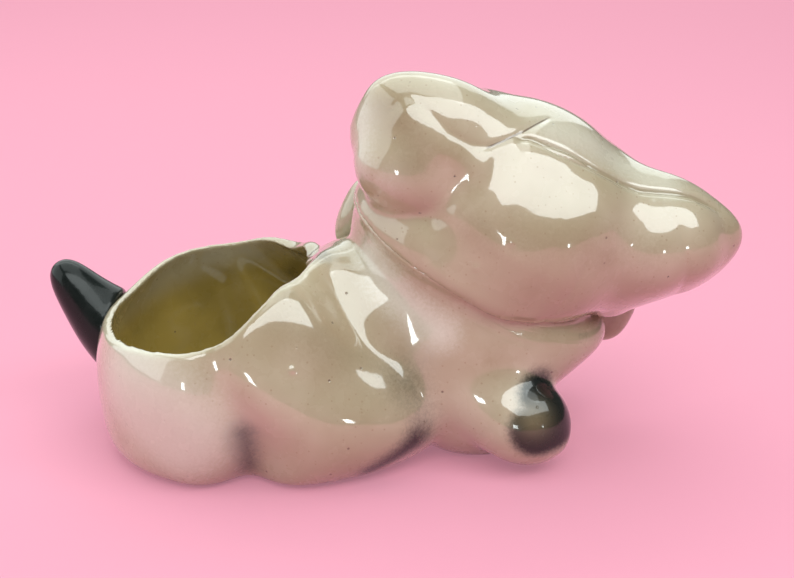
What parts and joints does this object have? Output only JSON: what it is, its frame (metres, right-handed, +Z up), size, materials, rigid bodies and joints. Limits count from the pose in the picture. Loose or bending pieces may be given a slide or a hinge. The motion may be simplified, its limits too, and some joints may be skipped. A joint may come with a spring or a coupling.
{
  "type": "animal shaped planter",
  "caption": "Glazed ceramic kitten lying down with its head cocked over its shoulder and an open planting well in its back; holds a small plant on a shelf or sill.",
  "frame": {"origin": "on the flat base, under the middle of the overall length", "axes": "+Z up, +X from the tail to the chest, +Y the side the face looks to"},
  "size_m": [0.2012, 0.0916, 0.1102],
  "materials": {
    "cream_glaze": "glossy ivory glaze with fine specks",
    "seam_glaze": "glossy ivory glaze over a tooled slip bead",
    "black_glaze": "glossy airbrushed black",
    "paw_glaze": "glossy ivory glaze, airbrushed black to the paw's end",
    "bow_glaze": "glossy ivory glaze"
  },
  "bodies": {
    "root": {"body_shell": "cream_glaze", "neck_seam": "seam_glaze", "head_shell": "cream_glaze", "right_ear": "cream_glaze", "left_ear": "cream_glaze", "tail": "black_glaze", "right_foreleg": "paw_glaze", "left_foreleg": "paw_glaze", "bow_knot": "bow_glaze", "bow_left_loop": "bow_glaze", "bow_right_loop": "bow_glaze"}
  },
  "joints": []
}
